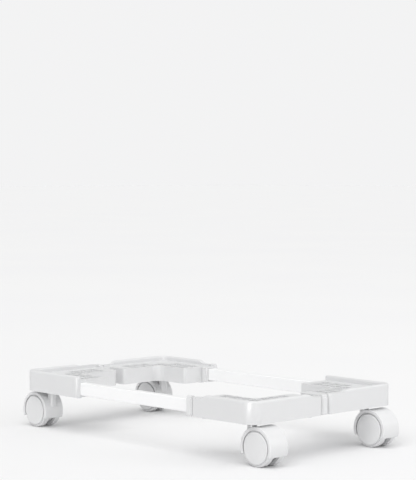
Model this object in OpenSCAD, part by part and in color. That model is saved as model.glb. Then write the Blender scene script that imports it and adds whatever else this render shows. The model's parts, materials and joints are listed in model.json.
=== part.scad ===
// Rolling stand for a desktop tower computer.
// Four L-shaped corner housings ride on swivel casters.  Two housings carry fixed
// tubes, and the other two slide along them, so length and width both adjust.
// Origin: centre of the stand on the floor.  X is across, Y is along, Z is up.

/* [Overall size] */
// Width over the corner housings
stand_w = 247.5; // [235:0.5:300]
// Length over the corner housings
stand_l = 425; // [400:1:470]
// Height of the underside of the housings above the floor
under_z = 49.5; // [49:0.5:56]
// Height of the deck that the computer's feet stand on
deck_z = 70.5; // [70:0.5:74]
// Height of the raised lip at the corners
lip_z = 76.5; // [75.5:0.5:80]

/* [Corner housing] */
// Width of the arm that runs along the side
side_arm_w = 54; // [50:1:64]
// Width of the arm that runs across the end
end_arm_w = 50; // [48:1:60]
// Length of the side arm of a fixed housing
fixed_side_len = 108; // [104:1:116]
// Length of the end arm of a fixed housing
fixed_end_len = 117.5; // [115:0.25:118.5]
// Length of the side arm of a sliding housing, without its collar
slide_side_len = 102; // [98:1:104]
// Length of the end arm of a sliding housing, without its collar
slide_end_len = 117; // [113:0.5:117.5]
// Radius of the outer vertical corner
corner_r = 16; // [14:0.5:18]
// Thickness of the outer wall and lip
wall_t = 6.7; // [6:0.1:7]
// Radius that rounds the top of the lip
lip_r = 2.4; // [1.5:0.1:3]
// Thickness of the ribs in the deck lattice
rib_t = 3; // [2.5:0.5:4]
// Spacing of the deck lattice
lattice_pitch = 16; // [15:0.5:17]

/* [Telescoping tubes] */
// Width of a tube
tube_w = 10.5; // [10:0.1:11]
// Height of a tube
tube_h = 16; // [15:0.5:16]
// Wall thickness of a tube
tube_t = 1.5; // [1.2:0.1:1.8]
// Gap between a tube and the housing it slides in
slide_gap = 0.3; // [0.2:0.05:0.4]
// Gap between a tube and the housing that holds it fast
fixed_gap = 0.05; // [0.02:0.01:0.1]
// Length of a sliding housing's end collar
collar_len = 7.5; // [6:0.5:9]
// Depth from the outer face to the free end of a side tube
side_tube_end = 48; // [47:1:52]
// Depth from the outer face to the free end of an end tube
end_tube_end = 40; // [39:0.5:44]

/* [Casters] */
// Radius of a wheel
wheel_r = 22; // [20:0.5:22]
// Distance across the outer faces of the twin wheels
wheel_span = 30; // [29:0.5:31]
// Gap between the twin wheels
wheel_gap = 10; // [9.5:0.5:11]
// Trail from the stem to the axle
trail = 19.5; // [18:0.5:20]
// Thickness of the hood
hood_t = 2; // [1.8:0.1:2.4]
// Radius of the caster stem
stem_r = 4; // [3.5:0.1:4.2]
// Radius of the axle
axle_r = 3; // [2.5:0.1:3.5]

/* [Hidden] */
$fn = 64;
eps = 0.01;

CORNERS = ["front_left", "front_right", "rear_left", "rear_right"];

white_plastic = [0.90, 0.90, 0.91];
bright_white = [0.97, 0.97, 0.97];
steel = [0.72, 0.73, 0.75];

// The housing is drawn in its own corner frame: u runs inwards from the side face,
// v runs inwards from the end face, and the outer corner is the origin.
tube_u = wall_t + slide_gap;            // near face of a tube, from either outer face
tube_mid = tube_u + tube_w / 2;
tube_z = under_z + 2.5;
tunnel_w = tube_w + 2 * slide_gap;
tunnel_h = tube_h + 2 * slide_gap;
tunnel_z = tube_z - slide_gap;
tunnel_near = tube_u - slide_gap;
lattice_start = wall_t + tunnel_w + 3;  // first lattice opening, past the tunnel's inner wall
side_tunnel_end = 20;
end_tunnel_end = 36;
fixed_tube_end = 30;                    // where a side tube stops in its fixed housing
stem_u = 25.25;
stem_v = 26;
socket_r = 6;
socket_top = 67.5;
end_edge_r = 4;                         // vertical rounding at the end of an arm
inner_r = 12;

// Collar: a groove, a flange as high as the deck that carries on the lip, and a spigot
groove_w = 1.6;
groove_deep = 1;
spigot_len = 6;
spigot_t = 1.3;
collar_w = tunnel_near + tunnel_w + 4;
collar_top = 73.5;
collar_step = 1.2;

// Lip drop: an arm's lip runs down to a lower height before it reaches the arm's end
drop_len = 14;
drop_steps = 10;
slide_drop_z = 72;
slide_run_out = 12;
fixed_drop_z = 74;
fixed_run_out = 23.25;
function ease(s) = (1 - cos(180 * s)) / 2;

// Lock and fixing screws, by distance along each arm
side_lock_v = 90;
end_lock_u = 105;
lock_r = 2.5;
lock_head_r = 5;
screw_head_h = 2.2;
nut_h = 3;
nut_len = 12;
fixing_side_v = [76, 98];
fixing_end_u = [80, 104];
fixing_r = 1.75;
fixing_head_r = 3.6;
slot_end_gap = 0.8;
side_in = 27;   // travel inwards and outwards of the side rails
side_out = 30;
end_in = 3;     // travel inwards and outwards of the cross tubes
end_out = 50;

// Casters
cap_r = wheel_r - 3.2;
cap_t = 2.4;
cap_rim_r = cap_r - 2.3;
cap_rim_h = 1.5;
hood_in_r = wheel_r + 0.4;
hood_w = wheel_span - 0.8;
hood_half_angle = 112;
flange_r = cap_r + 1.8;
flange_t = 1.1;
web_w = wheel_gap - 3.2;
web_r = cap_rim_r + 0.7;
web_rim_w = wheel_gap - 0.8;
hood_boss_r = stem_r + 1.8;
hood_boss_top = under_z - 1;
stem_bore = 7;
stem_top = socket_top - 1.5;
axle_gap = 0.05;
ring_z = 62;
ring_h = 1.6;

// ---------- shared shapes ----------

// Put a child drawn in a corner frame at one of the four corners
module at_corner(name) {
    sx = (name == "front_left" || name == "rear_left") ? -1 : 1;
    sy = (name == "front_left" || name == "front_right") ? -1 : 1;
    translate([sx * stand_w / 2, sy * stand_l / 2, 0])
        mirror([sx > 0 ? 1 : 0, 0, 0]) mirror([0, sy > 0 ? 1 : 0, 0])
            children();
}

// Put a child drawn about the stem axis at a corner's stem, wheels towards the end face
module at_stem(name) {
    sx = (name == "front_left" || name == "rear_left") ? -1 : 1;
    sy = (name == "front_left" || name == "front_right") ? -1 : 1;
    translate([sx * (stand_w / 2 - stem_u), sy * (stand_l / 2 - stem_v), 0])
        rotate([0, 0, sy > 0 ? 180 : 0])
            children();
}

// Swap u and v, so that a shape drawn along the side arm lies along the end arm
module along_end() {
    mirror([1, -1, 0]) children();
}

// Rectangle with all corners rounded
module rounded_rect(w, h, r) {
    translate([r, 0]) square([w - 2 * r, h]);
    translate([0, r]) square([w, h - 2 * r]);
    for (x = [r, w - r], y = [r, h - r]) translate([x, y]) circle(r);
}

// ---------- corner housing ----------

// Plan of the housing: an L with a large outer radius and a concave inner fillet
module l_outline(side_len, end_len) {
    difference() {
        union() {
            translate([corner_r, 0]) square([end_len - corner_r - end_edge_r, end_arm_w]);
            translate([0, corner_r]) square([side_arm_w, side_len - corner_r - end_edge_r]);
            translate([corner_r, corner_r]) circle(corner_r, $fn = 96);
            translate([0, side_len - 3 * end_edge_r])
                rounded_rect(side_arm_w, 3 * end_edge_r, end_edge_r);
            translate([end_len - 3 * end_edge_r, 0])
                rounded_rect(3 * end_edge_r, end_arm_w, end_edge_r);
            translate([side_arm_w - eps, end_arm_w - eps]) square(inner_r + eps);
        }
        translate([side_arm_w + inner_r, end_arm_w + inner_r]) circle(inner_r);
    }
}

// Openings of the deck lattice, right through the housing, clear of the stem boss
module lattice(side_len, end_len) {
    opening = lattice_pitch - rib_t;
    side_opening = (side_arm_w - lattice_start - 2 * rib_t) / 2;
    end_opening = (end_arm_w - lattice_start - 2 * rib_t) / 2;
    side_rows = floor((side_len - end_arm_w - rib_t) / lattice_pitch);
    end_rows = floor((end_len - side_arm_w - rib_t) / lattice_pitch);
    // the side arm's openings
    for (i = [0:side_rows - 1], k = [0, 1])
        translate([lattice_start + k * (side_opening + rib_t),
                   end_arm_w + i * lattice_pitch])
            rounded_rect(side_opening, opening, 1.5);
    // the end arm's openings
    for (i = [0:end_rows - 1], k = [0, 1])
        translate([side_arm_w + i * lattice_pitch,
                   lattice_start + k * (end_opening + rib_t)])
            rounded_rect(opening, end_opening, 1.5);
    // the corner's one opening, inwards of the stem boss
    translate([lattice_start + side_opening + rib_t, lattice_start + end_opening + rib_t])
        rounded_rect(side_arm_w - lattice_start - side_opening - 2 * rib_t,
                     end_arm_w - lattice_start - end_opening - 2 * rib_t, 1.5);
}

// Section of the lip: square foot, rounded top
module lip_section() {
    h = lip_z - deck_z + 2;
    translate([0, -2]) {
        square([wall_t, h - lip_r]);
        translate([lip_r, 0]) square([wall_t - 2 * lip_r, h]);
        for (x = [lip_r, wall_t - lip_r]) translate([x, h - lip_r]) circle(lip_r);
    }
}

// What is cut off above the falling end of a lip, along an arm of the given length
module drop_cut(arm_len, run_out, low_z) {
    start = arm_len - run_out - drop_len;
    top = lip_z + eps;
    rotate([90, 0, 90]) translate([0, 0, -1])
        linear_extrude(height = wall_t + 2)
            polygon(concat(
                [for (i = [0:drop_steps])
                    [start + drop_len * i / drop_steps,
                     top - (top - low_z) * ease(i / drop_steps)]],
                [[arm_len + 1, low_z], [arm_len + 1, lip_z + 1], [start, lip_z + 1]]));
}

// Straight lip along the side arm
module straight_lip(arm_len) {
    translate([0, corner_r, deck_z]) rotate([90, 0, 0]) mirror([0, 0, 1])
        linear_extrude(height = arm_len - corner_r) lip_section();
}

// The whole lip: two straights and the rounded corner between them
module lip(side_len, end_len) {
    intersection() {
        union() {
            straight_lip(side_len);
            along_end() straight_lip(end_len);
        }
        translate([0, 0, under_z]) linear_extrude(height = lip_z) l_outline(side_len, end_len);
    }
    translate([corner_r, corner_r, deck_z]) rotate([0, 0, 180])
        rotate_extrude(angle = 90, $fn = 96)
            translate([corner_r, 0]) mirror([1, 0]) lip_section();
}

// Passage for a tube along the side arm, from the arm's open end to where the tube stops
module tunnel(arm_len, stop, gap) {
    translate([tube_u - gap, stop, tube_z - gap])
        cube([tube_w + 2 * gap, arm_len - stop + 1, tube_h + 2 * gap]);
}

// Wider mouth that takes a collar's spigot
module spigot_pocket(arm_len) {
    translate([tunnel_near - spigot_t, arm_len - spigot_len, tunnel_z - spigot_t])
        cube([tunnel_w + 2 * spigot_t, spigot_len + 1, tunnel_h + 2 * spigot_t]);
}

// Common body of a housing; the children are what is cut out of it
module housing(side_len, end_len) {
    color(white_plastic) difference() {
        union() {
            difference() {
                translate([0, 0, under_z])
                    linear_extrude(height = deck_z - under_z) l_outline(side_len, end_len);
                translate([0, 0, under_z - 1])
                    linear_extrude(height = deck_z - under_z + 2) lattice(side_len, end_len);
            }
            lip(side_len, end_len);
        }
        translate([stem_u, stem_v, under_z - 1])
            cylinder(r = socket_r, h = socket_top - under_z + 1);
        children();
    }
}

// Housing that slides: collar pockets at both mouths and one clamp screw in each arm
module sliding_housing() {
    housing(slide_side_len, slide_end_len) {
        drop_cut(slide_side_len, slide_run_out, slide_drop_z);
        along_end() drop_cut(slide_end_len, slide_run_out, slide_drop_z);
        tunnel(slide_side_len, side_tunnel_end, slide_gap);
        along_end() tunnel(slide_end_len, end_tunnel_end, slide_gap);
        spigot_pocket(slide_side_len);
        along_end() spigot_pocket(slide_end_len);
        for (p = [[tube_mid, side_lock_v], [end_lock_u, tube_mid]])
            translate([p[0], p[1], under_z - 1]) cylinder(r = lock_r, h = 5);
    }
}

// Housing that holds two tubes fast, each with two fixing screws
module fixed_housing() {
    housing(fixed_side_len, fixed_end_len) {
        along_end() drop_cut(fixed_end_len, fixed_run_out, fixed_drop_z);
        tunnel(fixed_side_len, fixed_tube_end, fixed_gap);
        along_end() tunnel(fixed_end_len, end_tube_end, fixed_gap);
        for (v = fixing_side_v)
            translate([tube_mid, v, under_z - 1]) cylinder(r = fixing_r, h = 5);
        for (u = fixing_end_u)
            translate([u, tube_mid, under_z - 1]) cylinder(r = fixing_r, h = 5);
    }
}

// ---------- tubes ----------

// A hollow tube along Y, with a clamp slot near its free end and fixing holes near the other.
// Distances are measured from the free end, which is at Y = 0.
module tube(len, slot_from, slot_to, hole_ys) {
    color(bright_white) difference() {
        rotate([-90, 0, 0]) mirror([0, 1, 0]) linear_extrude(height = len) difference() {
            rounded_rect(tube_w, tube_h, 1.2);
            translate([tube_t, tube_t])
                square([tube_w - 2 * tube_t, tube_h - 2 * tube_t]);
        }
        translate([tube_w / 2 - lock_r - 0.3, slot_from, -1])
            cube([2 * lock_r + 0.6, slot_to - slot_from, tube_t + 1.5]);
        for (y = hole_ys) translate([tube_w / 2, y, -1]) cylinder(r = fixing_r, h = 4);
    }
}

side_tube_len = stand_l - side_tube_end - fixed_tube_end;
end_tube_len = stand_w - 2 * end_tube_end;
side_slot = [side_lock_v - side_tube_end - side_out - lock_r - slot_end_gap,
             side_lock_v - side_tube_end + side_in + lock_r + slot_end_gap];
end_slot = [end_lock_u - end_tube_end - end_out - lock_r - slot_end_gap,
            end_lock_u - end_tube_end + end_in + lock_r + slot_end_gap];

// Side rail in a sliding housing's corner frame
module side_rail() {
    translate([tube_u, side_tube_end, tube_z])
        tube(side_tube_len, side_slot[0], side_slot[1],
             [for (v = fixing_side_v) stand_l - v - side_tube_end]);
}

// Cross tube in a sliding housing's corner frame
module cross_tube() {
    along_end() translate([tube_u, end_tube_end, tube_z])
        tube(end_tube_len, end_slot[0], end_slot[1],
             [for (u = fixing_end_u) stand_w - u - end_tube_end]);
}

// Plug that closes a tube's free end, at Y = 0 of the tube
module plug_shape() {
    fit = 0.05;
    color(white_plastic) {
        translate([tube_t + fit, 0, tube_t + fit])
            cube([tube_w - 2 * (tube_t + fit), 4.5, tube_h - 2 * (tube_t + fit)]);
        translate([0.4, -1, 0.4]) cube([tube_w - 0.8, 1, tube_h - 0.8]);
    }
}

module side_rail_plug() {
    translate([tube_u, side_tube_end, tube_z]) plug_shape();
}

module cross_tube_plug() {
    along_end() translate([tube_u, end_tube_end, tube_z]) plug_shape();
}

// ---------- collars, screws and nuts ----------

// Collar at the mouth of a sliding housing's arm, which ends at arm_len
module collar(arm_len) {
    flange_z = under_z + 0.3;
    flange_h = deck_z - 0.3 - flange_z;
    color(white_plastic) difference() {
        union() {
            translate([0.3, arm_len + groove_w, flange_z]) rotate([90, 0, 0]) mirror([0, 0, 1])
                linear_extrude(height = collar_len) {
                    rounded_rect(collar_w, flange_h, 1);
                    translate([collar_step, 2])
                        rounded_rect(wall_t - collar_step - 0.3, collar_top - flange_z - 2, 1.5);
                }
            translate([0.3 + groove_deep, arm_len, flange_z + groove_deep])
                cube([collar_w - 2 * groove_deep, groove_w, flange_h - 2 * groove_deep]);
            translate([tunnel_near - spigot_t + 0.05, arm_len - spigot_len + 0.2,
                       tunnel_z - spigot_t + 0.05])
                cube([tunnel_w + 2 * spigot_t - 0.1, spigot_len, tunnel_h + 2 * spigot_t - 0.1]);
        }
        translate([tunnel_near, arm_len - spigot_len - 1, tunnel_z])
            cube([tunnel_w, spigot_len + groove_w + collar_len + 2, tunnel_h]);
    }
}

// Pan-head screw entering upwards from the underside
module screw(r, head_r, len) {
    color(steel) {
        difference() {
            translate([0, 0, -screw_head_h]) rotate_extrude() polygon(concat(
                [[0, 0], [head_r - 0.8, 0]],
                [for (a = [-90:15:0]) [head_r - 0.8 + 0.8 * cos(a), 0.8 + 0.8 * sin(a)]],
                [[head_r, screw_head_h], [0, screw_head_h]]));
            for (a = [0, 90]) rotate([0, 0, a])
                translate([-head_r / 2, -0.5, -screw_head_h - 1]) cube([head_r, 1, 2.1]);
        }
        cylinder(r = r, h = len);
    }
}

module lock_screws() {
    for (p = [[tube_mid, side_lock_v], [end_lock_u, tube_mid]])
        translate([p[0], p[1], under_z]) screw(lock_r - 0.1, lock_head_r, 6.8);
}

// Clamp nut inside a tube, drawn down onto the tube's floor by the lock screw
module nut() {
    color(steel) difference() {
        translate([-(tube_w / 2 - tube_t - 0.3), -nut_len / 2, 0])
            cube([tube_w - 2 * tube_t - 0.6, nut_len, nut_h]);
        translate([0, 0, -1]) cylinder(r = lock_r - 0.1, h = nut_h + 2);
    }
}

module clamp_nuts() {
    nut_z = tube_z + tube_t + 0.15;
    translate([tube_mid, side_lock_v, nut_z]) nut();
    along_end() translate([tube_mid, end_lock_u, nut_z]) nut();
}

module fixing_screws() {
    for (v = fixing_side_v)
        translate([tube_mid, v, under_z]) screw(fixing_r - 0.05, fixing_head_r, 6);
    for (u = fixing_end_u)
        translate([u, tube_mid, under_z]) screw(fixing_r - 0.05, fixing_head_r, 6);
}

// ---------- caster, drawn about the stem axis with the axle towards -Y ----------

// Sleeve pressed into the housing, which the stem turns in
module stem_socket() {
    color(steel) difference() {
        translate([0, 0, under_z]) cylinder(r = socket_r, h = socket_top - under_z);
        translate([0, 0, under_z - 1]) cylinder(r = stem_r + 0.1, h = socket_top - under_z);
        translate([0, 0, ring_z - 0.4]) cylinder(r = stem_r + 1, h = ring_h + 0.8);
    }
}

module caster_stem() {
    color(steel) difference() {
        union() {
            translate([0, 0, hood_boss_top - stem_bore])
                cylinder(r = stem_r, h = stem_top - 0.8 - hood_boss_top + stem_bore);
            translate([0, 0, stem_top - 0.8]) cylinder(r1 = stem_r, r2 = stem_r - 0.8, h = 0.8);
            translate([0, 0, hood_boss_top])
                cylinder(r = stem_r + 1.5, h = under_z - hood_boss_top - 0.2);
        }
        translate([0, 0, ring_z]) rotate_extrude()
            translate([stem_r - 0.7, 0]) square([2, ring_h]);
    }
}

// Split spring ring in the stem's groove
module grip_ring() {
    color(steel) translate([0, 0, ring_z + 0.1]) difference() {
        cylinder(r = stem_r + 0.55, h = ring_h - 0.2);
        translate([0, 0, -1]) cylinder(r = stem_r - 0.65, h = ring_h + 2);
        translate([0, -0.8, -1]) cube([stem_r + 2, 1.6, ring_h + 2]);
    }
}

// Rotate-extrude about the axle, which lies along X at the trailing end
module about_axle() {
    translate([0, -trail, wheel_r]) rotate([0, 90, 0]) children();
}

// Hood over both wheels, a web between them, and the boss that holds the stem
module caster_hood() {
    color(white_plastic) difference() {
        union() {
            // fender over the treads, turned down along the wheels' outer faces
            about_axle() rotate([0, 0, 180 - hood_half_angle])
                rotate_extrude(angle = 2 * hood_half_angle, $fn = 90) {
                    translate([hood_in_r, -hood_w / 2]) rounded_rect(hood_t, hood_w, 0.8);
                    for (side = [0, 1]) mirror([0, side])
                        translate([flange_r, hood_w / 2 - flange_t])
                            square([hood_in_r - flange_r + 1, flange_t]);
                }
            // rimmed disc between the wheels, and the web that carries it up to the fender
            about_axle() rotate_extrude($fn = 90) {
                translate([0, -web_w / 2]) square([web_r - 1, web_w]);
                translate([web_r - 3, -web_rim_w / 2]) square([3, web_rim_w]);
            }
            about_axle() rotate([0, 0, 180 - hood_half_angle])
                rotate_extrude(angle = 2 * hood_half_angle, $fn = 90)
                    translate([web_r - 1.5, 0.4 - web_w / 2])
                        square([hood_in_r - web_r + 2, web_w - 0.8]);
            // stem boss, kept outside the space the wheels turn in
            difference() {
                translate([0, 0, wheel_r + 6])
                    cylinder(r = hood_boss_r, h = hood_boss_top - wheel_r - 6);
                for (side = [0, 1]) mirror([side, 0, 0])
                    about_axle() translate([0, 0, web_w / 2 - 0.4])
                        cylinder(r = hood_in_r + 0.2, h = hood_w);
            }
        }
        // blind bore for the stem and bore for the axle
        translate([0, 0, hood_boss_top - stem_bore]) cylinder(r = stem_r, h = stem_bore + 1);
        about_axle() translate([0, 0, -web_w]) cylinder(r = axle_r, h = 2 * web_w);
    }
}

// The axle is pressed through the web and stops just short of the caps
module axle() {
    half = wheel_span / 2 - cap_t - 0.4;
    color(steel) about_axle() translate([0, 0, -half]) cylinder(r = axle_r, h = 2 * half);
}

// One wheel on the +X side: tread, dished inner face and a recess for the cap's rim
module wheel() {
    inner = wheel_gap / 2;
    face = wheel_span / 2 - cap_t;
    bevel = 1;
    color(white_plastic) about_axle() rotate_extrude($fn = 128) polygon(concat(
        [[axle_r + axle_gap, inner - 1.2], [7, inner - 1.2], [7, inner + 3],
         [17.5, inner + 3], [17.5, inner], [wheel_r - bevel, inner]],
        [for (a = [-75:15:0]) [wheel_r - bevel + bevel * cos(a),
                               inner + bevel + bevel * sin(a)]],
        [for (a = [0:15:75]) [wheel_r - bevel + bevel * cos(a),
                              face - bevel + bevel * sin(a)]],
        [[wheel_r - bevel, face], [cap_rim_r, face], [cap_rim_r, face - cap_rim_h],
         [axle_r + axle_gap, face - cap_rim_h]]));
}

// Raised disc on the wheel's outer face, held by a rim that plugs into the wheel's recess
module wheel_cap() {
    outer = wheel_span / 2;
    face = outer - cap_t;
    rim = cap_rim_r - 0.05;
    color(white_plastic) about_axle() rotate_extrude($fn = 128) polygon([
        [0, face], [rim - 1.5, face], [rim - 1.5, face - cap_rim_h + 0.1],
        [rim, face - cap_rim_h + 0.1], [rim, face], [cap_r, face],
        [cap_r, outer - 0.5], [cap_r - 0.5, outer], [0, outer - 0.4]]);
}

// ---------- the stand ----------

at_corner("front_left") sliding_housing();  // front_left_corner_housing
at_corner("rear_right") sliding_housing();  // rear_right_corner_housing
at_corner("front_right") fixed_housing();  // front_right_corner_housing
at_corner("rear_left") fixed_housing();  // rear_left_corner_housing

at_corner("front_left") side_rail();  // left_side_rail
at_corner("rear_right") side_rail();  // right_side_rail
at_corner("front_left") cross_tube();  // front_cross_tube
at_corner("rear_right") cross_tube();  // rear_cross_tube
at_corner("front_left") side_rail_plug();  // left_rail_end_plug
at_corner("rear_right") side_rail_plug();  // right_rail_end_plug
at_corner("front_left") cross_tube_plug();  // front_tube_end_plug
at_corner("rear_right") cross_tube_plug();  // rear_tube_end_plug

// Each sliding housing has two collars, two lock screws and two clamp nuts
for (corner = ["front_left", "rear_right"]) {
    at_corner(corner) collar(slide_side_len);
    at_corner(corner) along_end() collar(slide_end_len);
    at_corner(corner) lock_screws();
    at_corner(corner) clamp_nuts();
}

// Each fixed housing has four fixing screws
for (corner = ["rear_left", "front_right"])
    at_corner(corner) fixing_screws();

// Every corner has a caster
for (corner = CORNERS) {
    at_stem(corner) stem_socket();
    at_stem(corner) caster_stem();
    at_stem(corner) grip_ring();
    at_stem(corner) caster_hood();
    at_stem(corner) axle();
    // the rear casters are turned half round, so their left wheel is the one on the other side
    rear = corner == "rear_left" || corner == "rear_right";
    for (side = ["left", "right"]) {
        flip = (side == "left") != rear;
        at_stem(corner) mirror([flip ? 1 : 0, 0, 0]) wheel();
        at_stem(corner) mirror([flip ? 1 : 0, 0, 0]) wheel_cap();
    }
}
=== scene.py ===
import bpy, json, math
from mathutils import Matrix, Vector


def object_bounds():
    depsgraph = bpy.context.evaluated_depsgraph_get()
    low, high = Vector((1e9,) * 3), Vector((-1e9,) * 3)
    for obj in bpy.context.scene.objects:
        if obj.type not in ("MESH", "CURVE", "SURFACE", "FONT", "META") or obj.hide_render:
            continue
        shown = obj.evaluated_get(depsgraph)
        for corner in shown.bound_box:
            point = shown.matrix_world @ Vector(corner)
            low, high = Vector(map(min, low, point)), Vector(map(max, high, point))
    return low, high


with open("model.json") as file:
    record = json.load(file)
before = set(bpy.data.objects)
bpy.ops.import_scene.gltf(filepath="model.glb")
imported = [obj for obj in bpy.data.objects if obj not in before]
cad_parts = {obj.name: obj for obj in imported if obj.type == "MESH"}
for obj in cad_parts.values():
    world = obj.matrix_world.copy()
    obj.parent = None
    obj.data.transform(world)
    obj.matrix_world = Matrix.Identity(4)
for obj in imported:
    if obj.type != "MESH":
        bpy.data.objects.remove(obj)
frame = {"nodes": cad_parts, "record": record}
cad_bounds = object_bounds()
scene = bpy.context.scene
nodes = frame["nodes"]

# Texture scales, in cycles per metre
SINK, CLOUD, RIPPLE = 9.0, 55.0, 220.0
SCUFF_LINES = (60.0, 480.0, 60.0)
PEEL, PAINT_FILM, NIBS = 650.0, 14.0, 260.0
PLATING = 260.0
FLOOR_GRAIN, FLOOR_CLOUD = 900.0, 1.5

# Edge treatment of the CAD meshes
WELD_M = 1e-5
FLAT_ANGLE = math.radians(0.3)
SHARP_ANGLE = math.radians(35)
EDGE_SEGMENTS = 3

# Stage, in metres
FLOOR_SIZE = 80
AIM_HEIGHT = 0.06
SKY_LOW, SKY_HIGH, SKY_TOP = 0.53, 0.72, 0.9
BACKDROP = (0.896, 0.896, 0.9, 1.0)

# Camera
LENS_MM, SENSOR_MM = 120, 36
EYE = (-1.40147, -1.48131, 0.33215)
HEADING, DIP = math.radians(43.59), math.radians(2.29)


# ---------- materials ----------

class Nodes:
    """Short calls for building one material's node tree."""

    def __init__(self, name):
        self.mat = bpy.data.materials.new(name)
        self.mat.use_nodes = True
        self.tree = self.mat.node_tree
        self.shader = self.tree.nodes["Principled BSDF"]
        self.object = self.add("ShaderNodeTexCoord").outputs["Object"]

    def add(self, kind, links=(), **settings):
        node = self.tree.nodes.new(kind)
        for key, value in settings.items():
            if key.startswith("in_"):
                node.inputs[key[3:].replace("_", " ")].default_value = value
            else:
                setattr(node, key, value)
        for socket, source in dict(links).items():
            self.tree.links.new(source, node.inputs[socket])
        return node

    def noise(self, scale, detail=2.0, rough=0.5, at=None):
        node = self.add("ShaderNodeTexNoise", {"Vector": at or self.object}, in_Scale=scale,
                        in_Detail=detail, in_Roughness=rough)
        return node.outputs["Fac"]

    def stretched(self, x, y, z):
        node = self.add("ShaderNodeMapping", {"Vector": self.object})
        node.inputs["Scale"].default_value = (x, y, z)
        return node.outputs["Vector"]

    def cells(self, scale):
        node = self.add("ShaderNodeTexVoronoi", {"Vector": self.object}, in_Scale=scale)
        return node.outputs["Distance"]

    def fit(self, value, a, b, to_a, to_b):
        node = self.add("ShaderNodeMapRange", {"Value": value})
        for key, v in (("From Min", a), ("From Max", b), ("To Min", to_a), ("To Max", to_b)):
            node.inputs[key].default_value = v
        return node.outputs["Result"]

    def math(self, op, a, b=None):
        node = self.add("ShaderNodeMath", operation=op)
        for i, v in enumerate((a, b)):
            if v is None:
                continue
            if isinstance(v, (int, float)):
                node.inputs[i].default_value = v
            else:
                self.tree.links.new(v, node.inputs[i])
        return node.outputs[0]

    def mix(self, factor, a, b):
        node = self.add("ShaderNodeMix", data_type="RGBA")
        for i, v in ((0, factor), (6, a), (7, b)):
            if isinstance(v, (int, float)):
                node.inputs[i].default_value = v
            elif isinstance(v, tuple):
                node.inputs[i].default_value = (*v, 1.0)
            else:
                self.tree.links.new(v, node.inputs[i])
        return node.outputs[2]

    def bump(self, height, strength, distance, under=None):
        links = {"Height": height}
        if under is not None:
            links["Normal"] = under
        node = self.add("ShaderNodeBump", links, in_Strength=strength, in_Distance=distance)
        return node.outputs["Normal"]

    def done(self, color, rough, normal, **constants):
        for socket, source in (("Base Color", color), ("Roughness", rough), ("Normal", normal)):
            self.tree.links.new(source, self.shader.inputs[socket])
        for key, value in constants.items():
            self.shader.inputs[key.replace("_", " ")].default_value = value
        return self.mat


def plastic(name, light, dark, rough, grain, depth, coat=0.0):
    """Moulded plastic: fine eroded grain, slow waviness from sink, faint scuffs and gloss changes.

    The roughness stays above 0.28, where the denoiser would start to treat a patch as a mirror.
    """
    n = Nodes(name)
    slow = n.noise(SINK, 3.0)
    cloud = n.noise(CLOUD, 2.0, 0.5)
    color = n.mix(n.fit(slow, 0.3, 0.7, 0.0, 1.0), light, dark)
    color = n.mix(n.fit(cloud, 0.35, 0.75, 0.0, 0.35), color, dark)
    fine = n.noise(grain, 3.0, 0.65)
    scuff = n.fit(n.noise(1.0, 2.0, 0.7, n.stretched(*SCUFF_LINES)), 0.66, 0.74, 0.0, 1.0)
    color = n.mix(n.fit(fine, 0.30, 0.75, 0.0, 0.12), color, tuple(c * 0.9 for c in dark))
    color = n.mix(n.math("MULTIPLY", scuff, 0.25), color, tuple(c * 1.04 for c in light))
    roughness = n.math("ADD", n.fit(cloud, 0.3, 0.7, rough - 0.03, rough + 0.05),
                       n.math("ADD", n.fit(fine, 0.3, 0.7, -0.02, 0.03),
                              n.math("MULTIPLY", scuff, 0.12)))
    normal = n.bump(slow, 0.10, 0.003)
    normal = n.bump(n.noise(RIPPLE, 2.0), 0.08, 0.0004, normal)
    normal = n.bump(fine, 0.35, depth, normal)
    return n.done(color, roughness, normal, Coat_Weight=coat, Coat_Roughness=0.25, IOR=1.49)


def painted(name, light, dark):
    """Powder coat on steel: orange-peel skin with a soft sheen and a few dust nibs."""
    n = Nodes(name)
    peel = n.noise(PEEL, 2.0, 0.45)
    slow = n.noise(PAINT_FILM, 3.0)
    nibs = n.cells(NIBS)
    color = n.mix(n.fit(slow, 0.3, 0.7, 0.0, 1.0), light, dark)
    color = n.mix(n.fit(peel, 0.35, 0.6, 0.12, 0.0), color, dark)
    roughness = n.math("ADD", n.fit(peel, 0.3, 0.7, 0.33, 0.41),
                       n.fit(slow, 0.3, 0.7, -0.04, 0.04))
    normal = n.bump(peel, 0.3, 0.00025)
    normal = n.bump(n.fit(nibs, 0.0, 0.06, 1.0, 0.0), 0.25, 0.0001, normal)
    return n.done(color, roughness, normal, Coat_Weight=0.25, Coat_Roughness=0.3)


def metal(name, light, dark, rough, lines):
    """Drawn or plated steel: fine lines, cloudy plating and a little tarnish."""
    n = Nodes(name)
    drawn = n.noise(1.0, 3.0, 0.6, n.stretched(*lines))
    cloud = n.noise(PLATING, 4.0, 0.6)
    color = n.mix(n.fit(cloud, 0.3, 0.7, 0.0, 1.0), light, dark)
    color = n.mix(n.fit(drawn, 0.35, 0.7, 0.0, 0.35), color, tuple(c * 0.75 for c in dark))
    roughness = n.math("ADD", n.fit(drawn, 0.3, 0.7, rough - 0.06, rough + 0.08),
                       n.fit(cloud, 0.3, 0.7, -0.03, 0.05))
    normal = n.bump(drawn, 0.2, 0.00005)
    normal = n.bump(cloud, 0.1, 0.00005, normal)
    return n.done(color, roughness, normal, Metallic=1.0)


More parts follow.
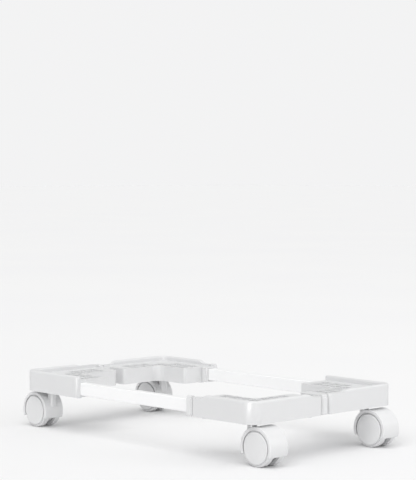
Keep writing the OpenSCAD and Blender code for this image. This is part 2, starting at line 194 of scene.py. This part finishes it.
# Plastics: light tone, dark tone, roughness, grain scale, grain depth in metres, clear coat.
# Metals: light tone, dark tone, roughness, scale of the drawn lines along X, Y and Z.
FINISHES = {
    "housing_plastic": (plastic, (0.755, 0.758, 0.762), (0.735, 0.738, 0.744),
                        0.34, 1500.0, 0.00010),
    "collar_plastic": (plastic, (0.775, 0.778, 0.782), (0.755, 0.758, 0.763),
                       0.40, 1500.0, 0.00010),
    "rail_paint": (painted, (0.96, 0.962, 0.965), (0.945, 0.947, 0.951)),
    "plug_plastic": (plastic, (0.70, 0.70, 0.705), (0.67, 0.67, 0.68),
                     0.5, 1800.0, 0.00008),
    "caster_plastic": (plastic, (0.775, 0.777, 0.781), (0.755, 0.757, 0.763),
                       0.34, 3200.0, 0.00004, 0.15),
    "wheel_plastic": (plastic, (0.755, 0.757, 0.762), (0.725, 0.727, 0.733),
                      0.38, 2200.0, 0.00006, 0.1),
    "cap_plastic": (plastic, (0.78, 0.782, 0.786), (0.76, 0.763, 0.768),
                    0.34, 3200.0, 0.00004, 0.15),
    "shaft_steel": (metal, (0.66, 0.67, 0.69), (0.56, 0.57, 0.59),
                    0.38, (60.0, 900.0, 900.0)),
    "spring_steel": (metal, (0.42, 0.43, 0.46), (0.34, 0.35, 0.38),
                     0.40, (900.0, 900.0, 200.0)),
    "zinc_steel": (metal, (0.68, 0.69, 0.72), (0.60, 0.61, 0.66),
                   0.40, (700.0, 700.0, 80.0)),
    "screw_steel": (metal, (0.70, 0.71, 0.73), (0.60, 0.61, 0.65),
                    0.38, (600.0, 600.0, 600.0)),
}
finish_of = {name: make(name, *values) for name, (make, *values) in FINISHES.items()}

# Radius of a moulded or broken edge, in millimetres
EDGE_MM = {
    "housing_plastic": 0.7, "collar_plastic": 0.5, "rail_paint": 0.35, "plug_plastic": 0.3,
    "caster_plastic": 0.45, "wheel_plastic": 0.4, "cap_plastic": 0.25, "shaft_steel": 0.25,
    "spring_steel": 0.15, "zinc_steel": 0.2, "screw_steel": 0.15,
}

slot_of = {p["node"]: p["material_slot"] for p in frame["record"]["subparts"]}
for name, piece in nodes.items():
    look = slot_of[name]
    piece.data.materials.clear()
    piece.data.materials.append(finish_of[look])
    weld = piece.modifiers.new("weld", "WELD")
    weld.merge_threshold = WELD_M
    flat = piece.modifiers.new("flat", "DECIMATE")
    flat.decimate_type = "DISSOLVE"
    flat.angle_limit = FLAT_ANGLE
    edge = piece.modifiers.new("edge", "BEVEL")
    edge.width = EDGE_MM[look] / 1000
    edge.segments = EDGE_SEGMENTS
    edge.limit_method = "ANGLE"
    edge.angle_limit = SHARP_ANGLE
    edge.harden_normals = True


# ---------- floor, light and camera ----------

def lamp(name, kind, at, aim, power, **shape):
    data = bpy.data.lights.new(name, kind)
    data.energy = power
    for key, value in shape.items():
        setattr(data, key, value)
    obj = bpy.data.objects.new(name, data)
    scene.collection.objects.link(obj)
    obj.location = at
    obj.visible_camera = False
    obj.rotation_euler = (Vector(aim) - Vector(at)).to_track_quat("-Z", "Y").to_euler()
    return obj


lo, hi = cad_bounds
mid = (lo + hi) / 2

bpy.ops.mesh.primitive_plane_add(size=FLOOR_SIZE)
floor = bpy.context.object
floor.name = "floor"
n = Nodes("floor_paper")
grain = n.noise(FLOOR_GRAIN, 2.0)
tone = n.fit(n.noise(FLOOR_CLOUD, 2.0), 0.3, 0.7, 0.0, 1.0)
floor.data.materials.append(n.done(
    n.mix(tone, (0.87, 0.87, 0.87), (0.86, 0.86, 0.865)),
    n.fit(grain, 0.3, 0.7, 0.75, 0.85), n.bump(grain, 0.05, 0.0001), Specular_IOR_Level=0.0))

# A sky that brightens upwards lights the stand; the camera itself sees an even backdrop
world = bpy.data.worlds.new("studio")
scene.world = world
world.use_nodes = True
tree = world.node_tree
sky = tree.nodes["Background"]
direction = tree.nodes.new("ShaderNodeSeparateXYZ")
tree.links.new(tree.nodes.new("ShaderNodeTexCoord").outputs["Generated"], direction.inputs[0])
height = tree.nodes.new("ShaderNodeMapRange")
height.interpolation_type = "SMOOTHSTEP"
for key, value in (("From Min", 0.0), ("From Max", SKY_TOP),
                   ("To Min", SKY_LOW), ("To Max", SKY_HIGH)):
    height.inputs[key].default_value = value
tree.links.new(direction.outputs["Z"], height.inputs["Value"])
tree.links.new(height.outputs["Result"], sky.inputs["Strength"])
sky.inputs["Color"].default_value = (1.0, 1.0, 1.0, 1.0)
backdrop = tree.nodes.new("ShaderNodeBackground")
backdrop.inputs["Color"].default_value = BACKDROP
seen = tree.nodes.new("ShaderNodeMixShader")
tree.links.new(tree.nodes.new("ShaderNodeLightPath").outputs["Is Camera Ray"], seen.inputs[0])
tree.links.new(sky.outputs[0], seen.inputs[1])
tree.links.new(backdrop.outputs[0], seen.inputs[2])
tree.links.new(seen.outputs[0], tree.nodes["World Output"].inputs["Surface"])

target = (mid.x, mid.y, AIM_HEIGHT)
lamp("sun", "SUN", (-1.0, -0.7, 1.6), target, 1.45, angle=math.radians(62))
lamp("front", "AREA", (1.6, -2.8, 1.3), target, 18.0,
     shape="RECTANGLE", size=2.2, size_y=1.6)
# A low lamp that only gloss sees, for the highlight down the near corner
glint = lamp("glint", "AREA", (-0.66, -0.38, 0.06), target, 3.0,
             shape="RECTANGLE", size=0.14, size_y=0.10)
glint.visible_diffuse = False

scene.view_settings.view_transform = "Standard"
cam_data = bpy.data.cameras.new("camera")
cam_data.lens = LENS_MM
cam_data.sensor_width = SENSOR_MM
camera = bpy.data.objects.new("camera", cam_data)
scene.collection.objects.link(camera)
forward = Vector((math.sin(HEADING) * math.cos(DIP), math.cos(HEADING) * math.cos(DIP),
                  -math.sin(DIP)))
camera.location = EYE
camera.rotation_euler = forward.to_track_quat("-Z", "Y").to_euler()
scene.camera = camera
